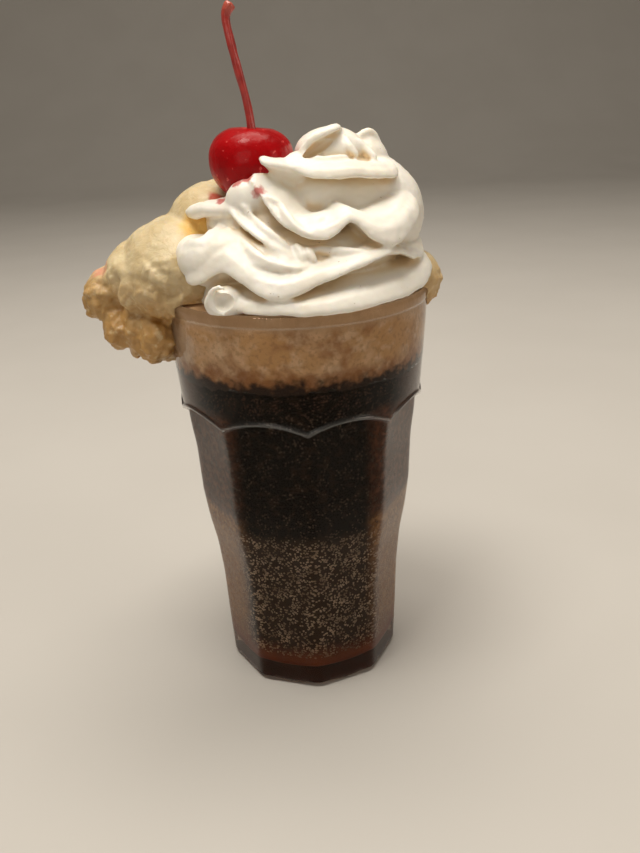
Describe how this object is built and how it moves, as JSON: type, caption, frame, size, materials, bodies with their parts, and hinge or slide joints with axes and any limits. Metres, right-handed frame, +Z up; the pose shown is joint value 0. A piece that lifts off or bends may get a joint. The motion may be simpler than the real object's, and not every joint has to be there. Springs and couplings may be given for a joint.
{
  "type": "ice cream float",
  "caption": "Ice cream float: dark fizzy drink and tan foam in a tall panelled tumbler, topped with vanilla ice cream, swirled whipped cream and a stemmed cherry.",
  "frame": {"origin": "centre of the glass's underside, on the surface that it stands on", "axes": "+Z up along the glass's axis; -Y is the front, towards the viewer; +X to the viewer's right"},
  "size_m": [0.1111, 0.0831, 0.2112],
  "materials": {
    "glass": "clear pressed glass, slightly brown in thick places",
    "drink": "nearly black fizzy drink with fine bubbles on the glass",
    "foam": "mottled tan and brown foam",
    "ice_cream": "craggy vanilla ice cream, damp",
    "cream": "soft satin whipped cream",
    "cherry": "wet glossy red",
    "stem": "dyed red stalk, satin"
  },
  "bodies": {
    "root": {"glass": "glass", "drink": "drink", "foam": "foam", "ice_cream_left": "ice_cream", "ice_cream_right": "ice_cream", "whipped_cream": "cream", "cherry": "cherry", "cherry_stem": "stem"}
  },
  "joints": []
}
